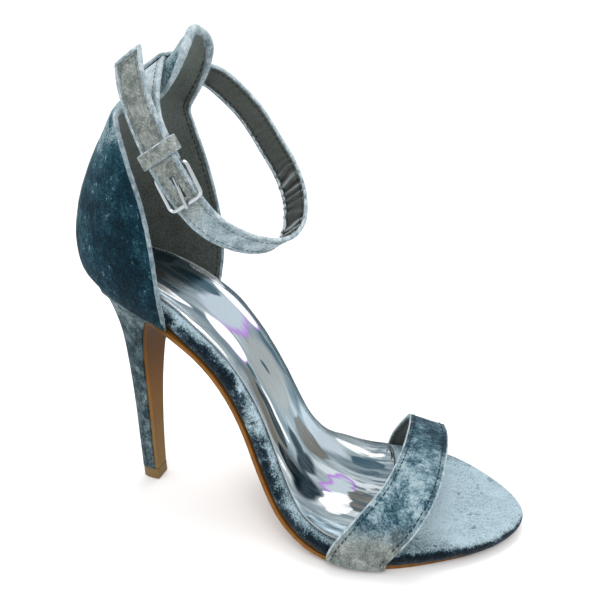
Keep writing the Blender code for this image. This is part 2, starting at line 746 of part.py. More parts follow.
def build_buckle():
    front, rear, out, along = buckle_bars()
    wide = along * (ANKLE_STRAP_WIDTH / 2 + 2 * PIECE_GAP + WIRE / 2)
    corners = [front - wide, front + wide, rear + wide, rear - wide]
    points = []
    for i, corner in enumerate(corners):
        into = (corners[i - 1] - corner).normalized()
        away = (corners[(i + 1) % 4] - corner).normalized()
        for step in range(5):
            turn = math.pi / 2 * step / 4
            round_in = into * (1 - math.sin(turn)) + away * (1 - math.cos(turn))
            points.append(corner + round_in * BUCKLE_CORNER)
    wire("buckle_frame", "metal", points, WIRE, closed=True)
    ahead = (rear - front).normalized()
    over = front + out * (WIRE / 2 + PIECE_GAP + PRONG / 2)
    start = rear - ahead * (WIRE / 2 + PIECE_GAP + PRONG / 2)
    tip = over - ahead * WIRE / 2
    wire("buckle_prong", "metal", [start, over, tip], PRONG)


def build_keeper():
    short_points, over, points, along = strap_points()
    i = REAR_BAR_ROW
    outer = points[i] + (points[i + 1] - points[i]) * KEEPER_PLACE
    ahead = (points[i + 1] - points[i]).normalized()
    out = along.cross(ahead).normalized()
    rear = buckle_bars()[1]
    line = through([rear, *reversed(short_points)], 12)
    inner = min(line, key=lambda spot: abs((spot - outer).dot(ahead)))
    up = (outer - inner).dot(out) + ANKLE_STRAP_THICKNESS / 2 + 2 * PIECE_GAP
    low = -ANKLE_STRAP_THICKNESS / 2 - 4 * PIECE_GAP
    slant = abs((outer - inner).dot(along)) / 2
    middle = inner + along * (outer - inner).dot(along) / 2
    wide = ANKLE_STRAP_WIDTH / 2 + slant + KEEPER_SLACK
    corners = [middle - along * wide + out * low, middle + along * wide + out * low,
               middle + along * wide + out * up, middle - along * wide + out * up]
    ring = []
    corner_round = KEEPER_WALL / 2
    for i, corner in enumerate(corners):
        into = (corners[i - 1] - corner).normalized()
        away = (corners[(i + 1) % 4] - corner).normalized()
        ring.append(corner + into * corner_round)
        ring.append(corner + away * corner_round)
    rows = [[spot + ahead * KEEPER_WIDTH * (k - 0.5) for k in (0, 1)] for spot in ring]
    return sheet("strap_keeper", "velvet", rows, KEEPER_WALL, -1.0, looped=True)


def build_toe_strap():
    across = 5
    grid = []
    outer_feet, inner_feet = TOE_STRAP_FEET
    for feet, which, sign in ((outer_feet, "outer", -1.0), (inner_feet, "inner", 1.0)):
        rows = []
        for angle in (-STRAP_TUCK, -STRAP_TUCK / 2, 0.0):
            row = []
            for k in range(across + 1):
                place = feet[0] + (feet[1] - feet[0]) * k / across
                middle = SOLE.at("thick", place) * FOOTBED_THICKNESS / 2
                clear = PIECE_GAP + TOE_STRAP_WALL / 2
                roll = min(EDGE_ROLL, middle)
                run, side = outline(run_at(place), which, roll - (roll + clear) * math.cos(angle))
                row.append(on_sole(run, side, middle + (middle + clear) * math.sin(angle)))
            rows.append(row)
        if which == "outer":
            grid.extend(rows)
            grid.extend(toe_strap_arch(across))
        else:
            grid.extend(reversed(rows))
    columns = [through([row[j] for row in grid], 2) for j in range(across + 1)]
    fine = [[column[i] for column in columns] for i in range(len(columns[0]))]
    return sheet("toe_strap", "velvet", fine, TOE_STRAP_WALL, 0.0)


def toe_strap_arch(across):
    arch = []
    floor = OUTSOLE_THICKNESS + PIECE_GAP
    for row in read(TOE_STRAP_ROWS):
        rear = Vector((row["rear"] * PLAN_LENGTH - SEAT_BACK, row["rear_side"] * BALL_WIDTH,
                       floor + row["rear_up"] * TOE_STRAP_RISE))
        front = Vector((row["front"] * PLAN_LENGTH - SEAT_BACK, row["front_side"] * BALL_WIDTH,
                        floor + row["front_up"] * TOE_STRAP_RISE))
        arch.append([rear + (front - rear) * k / across for k in range(across + 1)])
    return arch


for old in list(bpy.data.objects):
    bpy.data.objects.remove(old)
build_outsole()
build_footbed()
build_sock()
build_heel()
build_lift()
build_counter()
build_back_loop()
build_toe_strap()
build_ankle_strap()
build_buckle()
build_keeper()
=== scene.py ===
# High heel sandal: velvet, lining, stitches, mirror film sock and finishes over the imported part
import math
import random

import bmesh
import bpy
import numpy as np
from mathutils import Matrix, Vector, kdtree, noise
from mathutils.bvhtree import BVHTree


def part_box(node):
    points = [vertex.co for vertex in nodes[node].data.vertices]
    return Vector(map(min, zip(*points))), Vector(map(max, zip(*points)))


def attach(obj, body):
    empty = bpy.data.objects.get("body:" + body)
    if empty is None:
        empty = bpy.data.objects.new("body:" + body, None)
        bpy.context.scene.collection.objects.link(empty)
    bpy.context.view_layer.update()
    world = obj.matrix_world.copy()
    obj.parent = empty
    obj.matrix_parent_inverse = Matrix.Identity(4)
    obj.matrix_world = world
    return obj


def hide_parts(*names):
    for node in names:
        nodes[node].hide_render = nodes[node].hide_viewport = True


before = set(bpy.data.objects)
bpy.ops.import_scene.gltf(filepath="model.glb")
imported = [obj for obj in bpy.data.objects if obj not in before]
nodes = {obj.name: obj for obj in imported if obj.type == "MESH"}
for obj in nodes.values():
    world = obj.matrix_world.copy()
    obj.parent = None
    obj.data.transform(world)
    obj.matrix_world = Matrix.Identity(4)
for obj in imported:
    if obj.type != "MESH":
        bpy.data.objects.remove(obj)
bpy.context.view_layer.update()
mm = 0.001


# shader sums read as plain sums: each socket is wrapped, and sums add Math nodes
class Wire:
    def __init__(self, finish, socket):
        self.finish = finish
        self.socket = socket

    def sum(self, operation, first, second):
        return self.finish.add("ShaderNodeMath", {"operation": operation}, {0: first, 1: second})

    def __add__(self, other):
        return self.sum("ADD", self, other)

    def __radd__(self, other):
        return self.sum("ADD", other, self)

    def __sub__(self, other):
        return self.sum("SUBTRACT", self, other)

    def __rsub__(self, other):
        return self.sum("SUBTRACT", other, self)

    def __mul__(self, other):
        return self.sum("MULTIPLY", self, other)

    def __rmul__(self, other):
        return self.sum("MULTIPLY", other, self)

    def clamped(self):
        return self.finish.add("ShaderNodeClamp", {}, {0: self})

    # 0 below low, 1 above high, smooth between
    def step(self, low, high):
        return self.finish.add("ShaderNodeMapRange", {"interpolation_type": "SMOOTHSTEP"},
                               {0: self, 1: low, 2: high})


class Finish:
    def __init__(self, name, **constants):
        self.material = bpy.data.materials.new(name)
        self.material.use_nodes = True
        self.tree = self.material.node_tree
        self.shader = self.tree.nodes["Principled BSDF"]
        for label, value in constants.items():
            self.shader.inputs[label.replace("_", " ")].default_value = value
        self.place = self.add("ShaderNodeTexCoord", output="Object")
        self.facing = self.add("ShaderNodeNewGeometry", output="Normal")

    def add(self, kind, settings=None, values=None, output=0):
        node = self.tree.nodes.new(kind)
        for key, value in (settings or {}).items():
            if key == "stops":
                while len(node.color_ramp.elements) < len(value):
                    node.color_ramp.elements.new(0.5)
                for element, (position, colour) in zip(node.color_ramp.elements, value):
                    element.position = position
                    element.color = (*colour, 1.0)
            else:
                setattr(node, key, value)
        for key, value in (values or {}).items():
            if isinstance(value, Wire):
                self.tree.links.new(value.socket, node.inputs[key])
            else:
                node.inputs[key].default_value = value
        return Wire(self, node.outputs[output])

    def feed(self, label, wire):
        self.tree.links.new(wire.socket, self.shader.inputs[label])

    def scaled(self, scale, place=None):
        return self.add("ShaderNodeMapping", {}, {"Vector": place or self.place, "Scale": scale})

    def noise(self, scale, detail, rough, place=None, bend=0.0):
        return self.add("ShaderNodeTexNoise", {}, {"Vector": place or self.place, "Scale": scale,
                                                   "Detail": detail, "Roughness": rough, "Distortion": bend})

    # one axis of a vector, as a number
    def part(self, vector, axis):
        return self.add("ShaderNodeSeparateXYZ", {}, {0: vector}, axis)

    def blend(self, share, first, second):
        colours = [value if isinstance(value, Wire) else (*value, 1.0) for value in (first, second)]
        return self.add("ShaderNodeMix", {"data_type": "RGBA", "clamp_factor": True},
                        {0: share, 6: colours[0], 7: colours[1]}, 2)

    def ramp(self, share, stops):
        return self.add("ShaderNodeValToRGB", {"stops": stops}, {0: share})

    def bump(self, height, distance, strength, under=None):
        values = {"Height": height, "Distance": distance, "Strength": strength}
        if under:
            values["Normal"] = under
        return self.add("ShaderNodeBump", {}, values)


studioTone = 0.74  # the bright studio adds the rest


# a screen colour as linear light; above 255 is brighter than white paper
def rgb(red, green, blue):
    linear = [((c / 255 + 0.055) / 1.055) ** 2.4 if c > 10 else c / 255 / 12.92 for c in (red, green, blue)]
    return tuple(studioTone * c for c in linear)


# crushed velvet: pile that lies light or dark in patches, with painted light and shade by facing, paler where
# it faces up and darker on its sides, fine grain over all
pileLook = {"hairs": 1500.0, "bend": 0.3, "yarnDepth": 0.08, "wobble": 140.0, "speckAt": (0.62, 0.70),
            # where each kind of patch begins and is full, and its share of the crush
            "streaks": (0.40, 0.62, 0.36), "patches": (0.42, 0.60, 0.40), "flecks": (0.38, 0.64, 0.24),
            "crushBump": (0.0012, 0.55), "hairBump": (0.0005, 0.6)}  # bumps: depth, strength


def pile(finish, look):
    def weighed(cloud, kind):
        low, high, weight = pileLook[kind]
        return cloud.step(low, high) * weight

    streaks = finish.noise(1.0, 5.0, 0.66, finish.scaled(look["streak"]), pileLook["bend"])
    patches = finish.noise(look["patch"], 5.0, 0.62, bend=pileLook["bend"])
    flecks = finish.noise(look["fleck"], 3.0, 0.75)
    hairs = finish.noise(pileLook["hairs"], 3.0, 0.8)
    crush = weighed(streaks, "streaks") + weighed(patches, "patches") + weighed(flecks, "flecks")
    # painted light and shade: faces turned up are paler, sides and undersides darker
    up = finish.part(finish.facing, 2).step(*look["shade"])
    share = crush * (look["mottle"] - up * look.get("calm", 0.0)) + up * look["lift"]
    share = share + (hairs - 0.5) * look["grain"] + look["base"]
    if "specks" in look:
        scale, amount = look["specks"]
        share = share + finish.noise(scale, 2.0, 0.6).step(*pileLook["speckAt"]) * amount
    # painted light and shade by place: paler or darker toward one end of an axis
    for axis, low, high, amount in look.get("paintedLightAndShade", []):
        share = share + finish.part(finish.place, axis).step(low, high) * amount
    if "weave" in look:
        for direction in ("X", "Z"):
            yarn = finish.add("ShaderNodeTexWave", {"bands_direction": direction},
                              {"Vector": finish.place, "Scale": look["weave"],
                               "Distortion": 1.2, "Detail": 1.0})
            share = share + (yarn - 0.5) * pileLook["yarnDepth"]
    colour = finish.ramp(share.clamped(), [(0.0, look["deep"]), (0.33, look["dark"]),
                                           (0.66, look["light"]), (1.0, look["pale"])])
    return colour, crush, hairs


# other: a second velvet below the place that otherAt gives, as axis, from, to
def velvet(name, look, other=None, otherAt=None):
    finish = Finish(name, Roughness=0.8, Sheen_Weight=look["sheen"], Sheen_Roughness=0.4,
                    Sheen_Tint=(*look["tint"], 1.0), Specular_IOR_Level=0.07)
    colour, crush, hairs = pile(finish, look)
    if other:
        axis, low, high = otherAt
        wobble = (finish.noise(pileLook["wobble"], 4.0, 0.6) - 0.5) * (high - low)
        share = (finish.part(finish.place, axis) + wobble).step(low, high)
        colour = finish.blend(share, pile(finish, other)[0], colour)
    finish.feed("Base Color", colour)
    finish.feed("Normal", finish.bump(crush, *pileLook["crushBump"], finish.bump(hairs, *pileLook["hairBump"])))
    return finish.material


# felt lining, with painted shade: darker low in the cup, paler higher up; wrinkled, it has painted shade in the
# troughs and painted highlights on the crests
liningLook = {"cloth": 150.0, "grain": 1700.0, "paintedShadeAt": (0.112, 0.186), "bump": (0.0005, 0.6),
              "trough": rgb(14, 16, 16), "troughShadeAt": (0.05, 0.75),
              "crest": rgb(158, 168, 168), "crestHighlightAt": (0.20, 0.80)}


def lining(name, colour, dark, wrinkled=False):
    look = liningLook
    finish = Finish(name, Roughness=0.62 if wrinkled else 0.85, Sheen_Weight=0.2, Sheen_Roughness=0.5,
                    Specular_IOR_Level=0.35)
    cloth = finish.noise(look["cloth"], 4.0, 0.6)
    grain = finish.noise(look["grain"], 3.0, 0.75)
    # painted shade: darker low in the cup, paler higher up
    height = finish.part(finish.place, 2).step(*look["paintedShadeAt"])
    shown = finish.blend((cloth * 0.4 + grain * 2.0 - 0.80 + height * 0.42).clamped(), dark, colour)
    if wrinkled:
        crest = finish.add("ShaderNodeAttribute", {"attribute_name": "crest"}, output=2)
        # painted shade in the wrinkles' troughs, painted highlights on their crests
        shown = finish.blend((0.0 - crest).step(*look["troughShadeAt"]), shown, look["trough"])
        shown = finish.blend(crest.step(*look["crestHighlightAt"]) * 0.85, shown, look["crest"])
    finish.feed("Base Color", shown)
    finish.feed("Normal", finish.bump(grain * 0.7 + cloth * 0.3, *look["bump"]))
    return finish.material


def thread(name, colour):
    finish = Finish(name, Roughness=0.6, Specular_IOR_Level=0.3)
    twist = finish.noise(1.0, 1.0, 0.5, finish.scaled((5200, 5200, 5200)))
    finish.feed("Base Color", finish.blend(twist, tuple(c * 0.6 for c in colour), colour))
    finish.feed("Normal", finish.bump(twist, 0.0001, 0.5))
    return finish.material


# shade: the tilts between which the painted light makes it paler; specks: scale, amount; the painted light and
# shade by place: axis, from, to, amount
teal = {"deep": rgb(2, 19, 28), "dark": rgb(6, 46, 60),
        "light": rgb(52, 92, 106), "pale": rgb(160, 182, 190),
        "sheen": 0.05, "tint": (0.55, 0.80, 0.95),
        "streak": (110, 110, 36), "patch": 120.0, "fleck": 480.0,
        "shade": (-0.1, 1.0), "mottle": 0.46, "lift": 0.30, "base": 0.04, "grain": 1.2,
        "specks": (460.0, 0.34),
        # painted light: paler toward the back and higher up
        "paintedLightAndShade": [(0, 0.012, -0.024, 0.20), (2, 0.136, 0.166, 0.36), (2, 0.160, 0.184, 0.20)]}
greyBlue = {"deep": rgb(20, 34, 40), "dark": rgb(58, 78, 84),
            "light": rgb(106, 126, 130), "pale": rgb(168, 183, 185),
            "sheen": 0.12, "tint": (0.72, 0.86, 0.95),
            "streak": (190, 190, 46), "patch": 170.0, "fleck": 620.0,
            "shade": (-0.3, 1.0), "mottle": 0.80, "lift": 0.15, "base": 0.02, "grain": 1.3}
steelBlue = {"deep": rgb(8, 22, 31), "dark": rgb(30, 54, 68),
             "light": rgb(138, 160, 168), "pale": rgb(194, 218, 230),
             "sheen": 0.16, "tint": (0.78, 0.90, 1.0),
             "streak": (70, 200, 80), "patch": 95.0, "fleck": 520.0,
             "shade": (0.10, 0.85), "mottle": 0.95, "calm": 0.72, "lift": 0.96, "base": 0.0, "grain": 1.7,
             # painted shade: darker low down, at both sides and toward the heel
             "specks": (230.0, -0.24), "paintedLightAndShade": [(2, 0.0098, 0.004, -0.46), (2, 0.034, 0.008, -0.06),
                                             (1, -0.022, -0.034, -0.36), (1, 0.027, 0.037, -0.30),
                                             (0, 0.064, 0.046, -0.12)]}
strapBlue = {"deep": rgb(14, 36, 48), "dark": rgb(44, 78, 94),
             "light": rgb(116, 146, 158), "pale": rgb(176, 198, 206),
             "sheen": 0.15, "tint": (0.72, 0.88, 1.0),
             "streak": (230, 150, 160), "patch": 150.0, "fleck": 620.0,
             "shade": (-0.3, 1.0), "mottle": 0.74, "lift": 0.16, "base": 0.15, "grain": 1.5,
             # painted shade: darker toward the inner side
             "paintedLightAndShade": [(1, -0.020, 0.010, -0.34)]}
taupe = {"deep": rgb(84, 92, 90), "dark": rgb(122, 130, 126),
         "light": rgb(162, 169, 165), "pale": rgb(198, 208, 208),
         "sheen": 0.12, "tint": (0.9, 0.96, 1.0),
         "streak": (170, 170, 90), "patch": 190.0, "fleck": 700.0,
         "shade": (-0.6, 1.0), "mottle": 0.70, "lift": 0.15, "base": 0.10, "grain": 1.3, "weave": 520.0}
paleBlue = {"deep": rgb(80, 102, 112), "dark": rgb(134, 154, 162),
            "light": rgb(178, 196, 204), "pale": rgb(218, 230, 234),
            "sheen": 0.20, "tint": (0.85, 0.94, 1.0),
            "streak": (170, 170, 90), "patch": 170.0, "fleck": 600.0,
            "shade": (-0.5, 1.0), "mottle": 0.60, "lift": 0.26, "base": 0.28, "grain": 1.2}
piping = {"deep": rgb(92, 112, 122), "dark": rgb(136, 156, 166),
          "light": rgb(182, 200, 208), "pale": rgb(224, 236, 240),
          "sheen": 0.30, "tint": (0.9, 0.97, 1.0),
          "streak": (260, 260, 260), "patch": 300.0, "fleck": 900.0,
          "shade": (-0.6, 1.0), "mottle": 0.66, "lift": 0.26, "base": 0.20, "grain": 0.9}
# the edge of the counter: the same velvet, with painted shade, darker low down and paler higher up
edging = dict(piping, base=-0.06, paintedLightAndShade=[(2, 0.130, 0.176, 0.30)])

velvetTeal = velvet("velvetTeal", teal)
velvetGrey = velvet("velvetGreyBlue", greyBlue)
velvetSteel = velvet("velvetSteelBlue", steelBlue)
velvetStrap = velvet("velvetStrap", strapBlue, taupe, (2, 0.012, 0.024))
velvetTaupe = velvet("velvetTaupe", taupe)
velvetAnkle = velvet("velvetAnkle", paleBlue, taupe, (1, -0.034, -0.026))
velvetPiping = velvet("velvetPiping", piping)
velvetEdging = velvet("velvetEdging", edging)
liningGrey = lining("liningGreyGreen", rgb(110, 120, 114), rgb(25, 30, 28))
liningCreased = lining("liningCreased", rgb(80, 87, 82), rgb(26, 31, 29), True)
threadDark = thread("threadDark", rgb(26, 34, 38))
threadSilver = thread("threadSilver", rgb(196, 190, 176))
threadPale = thread("threadPale", rgb(112, 128, 136))
edgeSilver = thread("edgeSilver", rgb(188, 202, 208))
print("stage: velvet, lining and thread")


# tan board of the sole and hard tip: faint long fibres, clouds and fine specks
# the flap down the heel's breast has painted shade at its top, under the sole, where it is deep brown, and is
# paler tan toward the tip
boardLook = {"fibre": (160, 900, 160), "cloud": 45.0, "speck": 1500.0, "bump": (0.00015, 0.45),
             "flapAt": (0.026, 0.034),
             "top": rgb(78, 52, 18), "flapShadeAt": (0.035, 0.086), "low": rgb(138, 118, 78), "lowAt": (0.010, 0.060)}


def tanBoard(name, colour, dark, gloss):
    look = boardLook
    finish = Finish(name, Specular_IOR_Level=0.12)
    fibre = finish.noise(1.0, 4.0, 0.6, finish.scaled(look["fibre"]), 0.4)
    cloud = finish.noise(look["cloud"], 3.0, 0.5)
    speck = finish.noise(look["speck"], 2.0, 0.7)
    mixed = (fibre * 0.5 + cloud * 0.4 + speck * 0.2 - 0.05).clamped()
    board = finish.ramp(mixed, [(0.2, dark), (0.55, colour), (0.9, tuple(c * 1.35 for c in colour))])
    flap = 1.0 - finish.part(finish.place, 0).step(*look["flapAt"])
    height = finish.part(finish.place, 2)
    # painted shade: the flap's top under the sole darkened to deep brown
    board = finish.blend(flap * height.step(*look["flapShadeAt"]) * 0.75, board, look["top"])
    board = finish.blend(flap * (1.0 - height.step(*look["lowAt"])) * 0.60, board, look["low"])
    finish.feed("Base Color", board)
    finish.feed("Roughness", fibre * 0.25 + gloss)
    finish.feed("Normal", finish.bump(fibre * 0.6 + speck * 0.4, *look["bump"]))
    return finish.material


soleTan = tanBoard("soleTan", rgb(142, 96, 44), rgb(98, 62, 26), 0.50)
tipTan = tanBoard("tipTan", rgb(112, 78, 40), rgb(78, 52, 25), 0.30)


# mirror film of the sock: painted reflections, what it would mirror painted into its colour as long pools
# with sharp, brushed ends over painted streaks of reflected light
# pools of painted reflection: place along the foot, place across (+ inner), half length, half width in mm, tone
filmLook = {"white": rgb(290, 292, 294), "pale": rgb(206, 220, 230),
            "beige": rgb(174, 178, 177), "olive": rgb(118, 115, 107),
            "slate": rgb(58, 88, 103), "navy": rgb(10, 36, 50),
            "black": rgb(4, 6, 9), "violet": rgb(196, 140, 232),
            "seatAt": (0.030, 0.066), "toeAt": (0.152, 0.164),
            "soft": 0.62, "sharp": 0.84, "bump": (0.0009, 0.6),
            "reflectionBands": [(0.30, rgb(70, 92, 104)), (0.44, rgb(132, 149, 158)),
                      (0.54, rgb(176, 190, 197)), (0.66, rgb(230, 239, 243))],
            "reflectionPools": [(93, 1, 26, 13, "beige"), (61.8, 2, 12.3, 12.5, "violet"), (60, 2, 12.9, 13.5, "pale"),
                      (135, 15, 22, 7, "pale"), (131, 5, 14, 6, "olive"), (40, 8, 15, 4, "slate"),
                      (14, 14, 14, 9, "slate"), (18, -6, 16, 6, "olive"), (88, 13.5, 15, 1.4, "slate"),
                      (106, -17, 26, 3.6, "olive"), (108, -14.5, 15, 2.0, "black"),
                      (127, -18.5, 13, 2.8, "black"), (118, -24, 12, 1.3, "white"), (126, -6, 8, 4, "navy"),
                      (135, -9, 8, 7, "navy"), (140, -20, 9, 8, "navy"), (88, -12.5, 7, 1.5, "slate"),
                      (110, -11.6, 13, 0.8, "white"), (153, -9, 7, 9, "violet"), (153, -9, 5.8, 7.9, "pale"),
                      (162, -14, 7, 8, "olive"), (154, -20, 7, 8, "white"), (156, 24, 14, 3.4, "white"),
                      (163, 15, 9, 4.5, "slate"), (62, 14.5, 15.0, 3.8, "violet"),
                      (60, 14.5, 15.6, 3.6, "white"), (41, 18, 9, 2.8, "white"), (28, 21, 8, 3.2, "white"),
                      (38, -14.5, 13, 2.2, "white"), (70.6, -12.6, 14, 4.3, "violet"),
                      (69, -12.3, 14.4, 4.3, "white"), (90, 0, 6, 1.2, "slate"), (56, -23, 22, 1.5, "white")]}


def mirrorFilm(name, look):
    finish = Finish(name, Coat_Weight=0.12, Coat_Roughness=0.12, Specular_IOR_Level=0.4, Metallic=0.88,
                    Specular_Tint=(0.62, 0.78, 0.86, 1.0))
    along = finish.add("ShaderNodeAttribute", {"attribute_name": "footPlace"}, output=1)

    def moved(vector, scale, reach, detail):
        cloud = finish.add("ShaderNodeTexNoise", {},
                           {"Vector": finish.scaled(scale, along), "Scale": 1.0, "Detail": detail}, 1)
        centred = finish.add("ShaderNodeVectorMath", {"operation": "SUBTRACT"}, {0: cloud, 1: (0.5, 0.5, 0.5)})
        return finish.add("ShaderNodeVectorMath", {"operation": "MULTIPLY_ADD"},
                          {0: centred, 1: reach, 2: vector})

    bent = moved(moved(along, (30, 50, 1), (0.012, 0.009, 0.0), 2.0), (60, 300, 1), (0.007, 0.0, 0.0), 1.0)
    streak = finish.noise(1.0, 3.0, 0.55, finish.scaled((9, 105, 1), bent), 0.3)
    fine = finish.noise(1.0, 3.0, 0.6, finish.scaled((70, 340, 1), bent), 0.3)
    # painted reflection: long streaks of mirrored light along the foot
    colour = finish.ramp(streak + (fine - 0.5) * 0.25, look["reflectionBands"])
    seat = 1.0 - finish.part(along, 0).step(*look["seatAt"])
    colour = finish.blend(seat * 0.66, colour, look["slate"])
    # painted reflections: pools of mirrored light and dark, white above paper white for highlights
    for u, v, reach, half, tone in look["reflectionPools"]:
        centred = finish.add("ShaderNodeVectorMath", {"operation": "SUBTRACT"},
                             {0: bent, 1: (u * mm, v * mm, 0.0)})
        shrunk = finish.add("ShaderNodeVectorMath", {"operation": "MULTIPLY"},
                            {0: centred, 1: (1000 / reach, 1000 / half, 0.0)})
        away = finish.add("ShaderNodeVectorMath", {"operation": "LENGTH"}, {0: shrunk}, 1)
        rim = look["soft"] if tone in ("beige", "pale", "navy") else look["sharp"]
        colour = finish.blend(1.0 - away.step(rim, 1.0), colour, look[tone])
    across = finish.noise(1.0, 3.0, 0.6, finish.scaled((70, 520, 1), bent), 0.2)
    toe = finish.part(along, 0).step(*look["toeAt"])
    colour = finish.blend(across.step(0.50, 0.60) * toe * 0.8, colour, look["slate"])
    # painted reflection: fine pale streaks over all
    colour = finish.blend((fine - 0.42) * 0.35, colour, look["pale"])
    finish.feed("Base Color", colour)
    finish.feed("Roughness", fine * 0.16 + 0.16)
    finish.feed("Normal", finish.bump(streak * 0.7 + fine * 0.3, *look["bump"]))
    return finish.material


filmSilver = mirrorFilm("filmSilver", filmLook)


metalLook = {"rub": 900.0, "cloud": 180.0, "dull": rgb(188, 196, 200), "bright": rgb(214, 222, 226),
             "bump": (0.00005, 0.4)}


def metalFinish(name, look):
    finish = Finish(name, Metallic=1.0)
    rub = finish.noise(look["rub"], 4.0, 0.7)
    cloud = finish.noise(look["cloud"], 3.0, 0.5)
    finish.feed("Base Color", finish.blend(cloud, look["dull"], look["bright"]))
    finish.feed("Roughness", rub * 0.22 + 0.12)
    finish.feed("Normal", finish.bump(rub, *look["bump"]))
    return finish.material


buckleMetal = metalFinish("buckleMetal", metalLook)
print("stage: tan board, film and metal")


# a fine copy of a CAD node: welded, back in quads, its wall split into outside, inside and rim, then smoothed
copyLook = {"weld": 0.02 * mm, "joinFace": 28, "joinShape": 60}
outsideKind, insideKind, rimKind, turnedKind = range(4)  # places in a copied piece's list of finishes


def fineCopy(node, levels, middle=None, fold=50.0):
    work = bmesh.new()
    work.from_mesh(nodes[node].data)
    bmesh.ops.remove_doubles(work, verts=work.verts, dist=copyLook["weld"])
    bmesh.ops.join_triangles(work, faces=work.faces, angle_face_threshold=math.radians(copyLook["joinFace"]),
                             angle_shape_threshold=math.radians(copyLook["joinShape"]))
    bmesh.ops.recalc_face_normals(work, faces=work.faces)
    crease = work.edges.layers.float.new("crease_edge")
    sharp = set()
    for edge in work.edges:
        if len(edge.link_faces) == 2 and edge.calc_face_angle(0) > math.radians(fold):
            edge[crease] = 1.0
            sharp.add(edge)
    if middle:
        regions = []
        left = set(work.faces)
        while left:
            region = [next(face for face in work.faces if face in left)]
            left.discard(region[0])
            for face in region:
                for edge in face.edges:
                    if edge not in sharp:
                        for other in edge.link_faces:
                            if other in left:
                                left.discard(other)
                                region.append(other)
            regions.append(region)
        regions.sort(key=lambda region: -sum(face.calc_area() for face in region))
        for region in regions:
            kind = rimKind
            if region in regions[:2]:
                out = sum((face.calc_center_median() - middle).dot(face.normal) * face.calc_area()
                          for face in region)
                kind = outsideKind if out > 0 else insideKind
            for face in region:
                face.material_index = kind
    mesh = bpy.data.meshes.new(node + "Fine")
    work.to_mesh(mesh)
    work.free()
    made = bpy.data.objects.new(node + "Fine", mesh)
    bpy.context.scene.collection.objects.link(made)
    smooth = made.modifiers.new("smooth", "SUBSURF")
    smooth.levels = levels
    smooth.render_levels = levels
    smooth.boundary_smooth = "PRESERVE_CORNERS"
    fixed = bpy.data.meshes.new_from_object(made.evaluated_get(bpy.context.evaluated_depsgraph_get()))
    made.modifiers.clear()
    made.data = fixed
    for face in fixed.polygons:
        face.use_smooth = True
    return made


# every point of a mesh moved along its own normal by what lift(place, normal) gives
def push(made, lift):
    normals = [vertex.normal.copy() for vertex in made.data.vertices]
    for vertex, normal in zip(made.data.vertices, normals):
        vertex.co += normal * lift(vertex.co, normal)
    made.data.update()


def dress(made, node, finishes):
    for finish in finishes:
        made.data.materials.append(finish)
    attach(made, "root")
    if node:
        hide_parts(node)


def newPiece(name, vertices, faces, finish, rounded=True):
    mesh = bpy.data.meshes.new(name)
    mesh.from_pydata([tuple(v) for v in vertices], [], faces)
    if rounded:
        work = bmesh.new()
        work.from_mesh(mesh)
        bmesh.ops.recalc_face_normals(work, faces=work.faces)
        work.to_mesh(mesh)
        work.free()
        mesh.shade_smooth()
    made = bpy.data.objects.new(name, mesh)
    bpy.context.scene.collection.objects.link(made)
    dress(made, None, [finish])


def treeOf(spots):
    tree = kdtree.KDTree(len(spots))
    for i, spot in enumerate(spots):
        tree.insert(Vector(spot), i)
    tree.balance()
    return tree


def within(value, low=0.0, high=1.0):
    return min(max(value, low), high)


def everywhere(place, normal, into):
    return True


# closed lines round the faces of one kind: evenly spaced places, with normal and the way into the faces
def edgeLines(made, kind, spacing):
    work = bmesh.new()
    work.from_mesh(made.data)
    work.normal_update()
    rimEdges = {}
    for edge in work.edges:
        kinds = [face for face in edge.link_faces if face.material_index == kind]
        if len(kinds) == 1 and len(edge.link_faces) == 2:
            rimEdges[edge] = kinds[0]
    lines = []
    left = set(rimEdges)
    while left:
        first = next(edge for edge in rimEdges if edge in left)  # mesh order, so each run starts alike
        left.discard(first)
        chain = [first]
        tip = first.verts[1]
        while True:
            ahead = [edge for edge in tip.link_edges if edge in left]
            if not ahead:
                break
            left.discard(ahead[0])
            chain.append(ahead[0])
            tip = ahead[0].other_vert(tip)
        spots = []
        here = first.verts[0]
        for edge in chain:
            there = edge.other_vert(here)
            face = rimEdges[edge]
            middle = (here.co + there.co) / 2
            way = (there.co - here.co).normalized()
            into = face.calc_center_median() - middle
            into = (into - way * into.dot(way)).normalized()
            spots.append((middle, face.normal.copy(), into))
            here = there
        places = np.array([[*spot[0]] for spot in spots])
        normals = np.array([[*spot[1]] for spot in spots])
        intos = np.array([[*spot[2]] for spot in spots])
        closed = np.vstack([places, places[:1]])
        lengths = np.concatenate([[0], np.cumsum(np.linalg.norm(np.diff(closed, axis=0), axis=1))])
        count = max(8, int(lengths[-1] / spacing))
        marks = np.linspace(0, lengths[-1], count, endpoint=False)

        def spread(values):
            ring = np.vstack([values, values[:1]])
            return np.stack([np.interp(marks, lengths, ring[:, axis]) for axis in range(3)], 1)

        def soften(values, times):
            for repeat in range(times):
                values = (np.roll(values, 1, 0) + 2 * values + np.roll(values, -1, 0)) / 4
            return values

        place = soften(spread(places), 1)
        normal = soften(spread(normals), 3)
        into = soften(spread(intos), 3)
        normal /= np.linalg.norm(normal, axis=1)[:, None]
        into /= np.linalg.norm(into, axis=1)[:, None]
        lines.append((lengths[-1], place, normal, into))
    work.free()
    lines.sort(key=lambda line: -line[0])
    return [line[1:] for line in lines]


